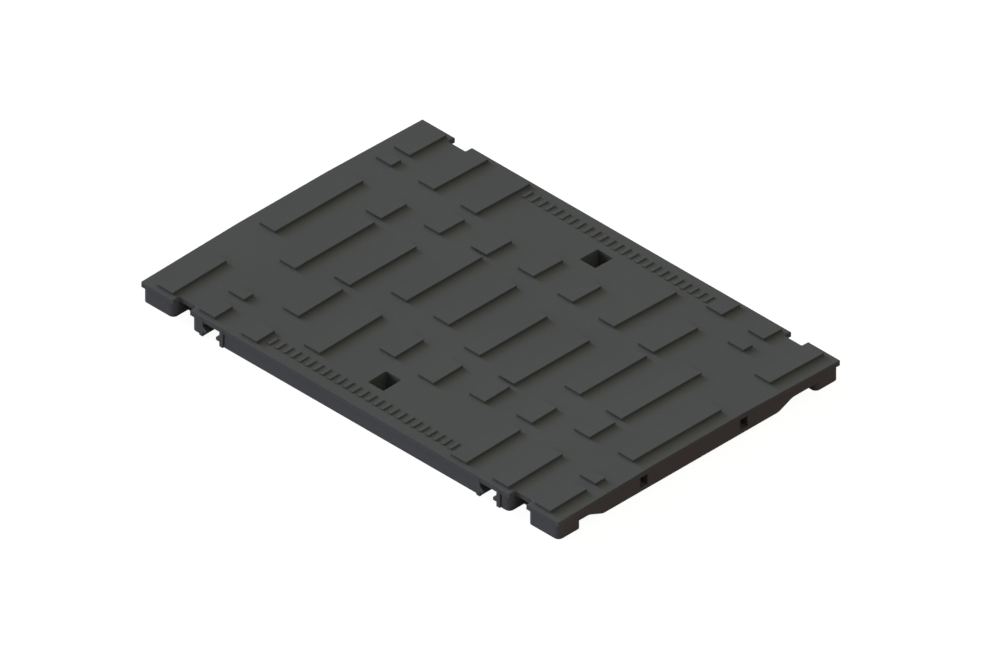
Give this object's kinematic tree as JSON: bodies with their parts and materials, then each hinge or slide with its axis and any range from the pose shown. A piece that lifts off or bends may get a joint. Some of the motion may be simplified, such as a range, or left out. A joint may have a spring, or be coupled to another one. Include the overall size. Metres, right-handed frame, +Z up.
{
  "type": "inspection cover",
  "caption": "Moulded inspection cover with a cambered tread plate, raised tread bars, square lifting holes, edge notches and barbed snap gaps in a low skirt",
  "frame": {"origin": "on the ground under the middle of the cover", "axes": "X along the cover, Y across it, Z up"},
  "size_m": [0.498, 0.3366, 0.025],
  "materials": {
    "cover": "matte dark grey moulded plastic with a fine even texture"
  },
  "bodies": {
    "root": {"cover": "cover"}
  },
  "joints": []
}
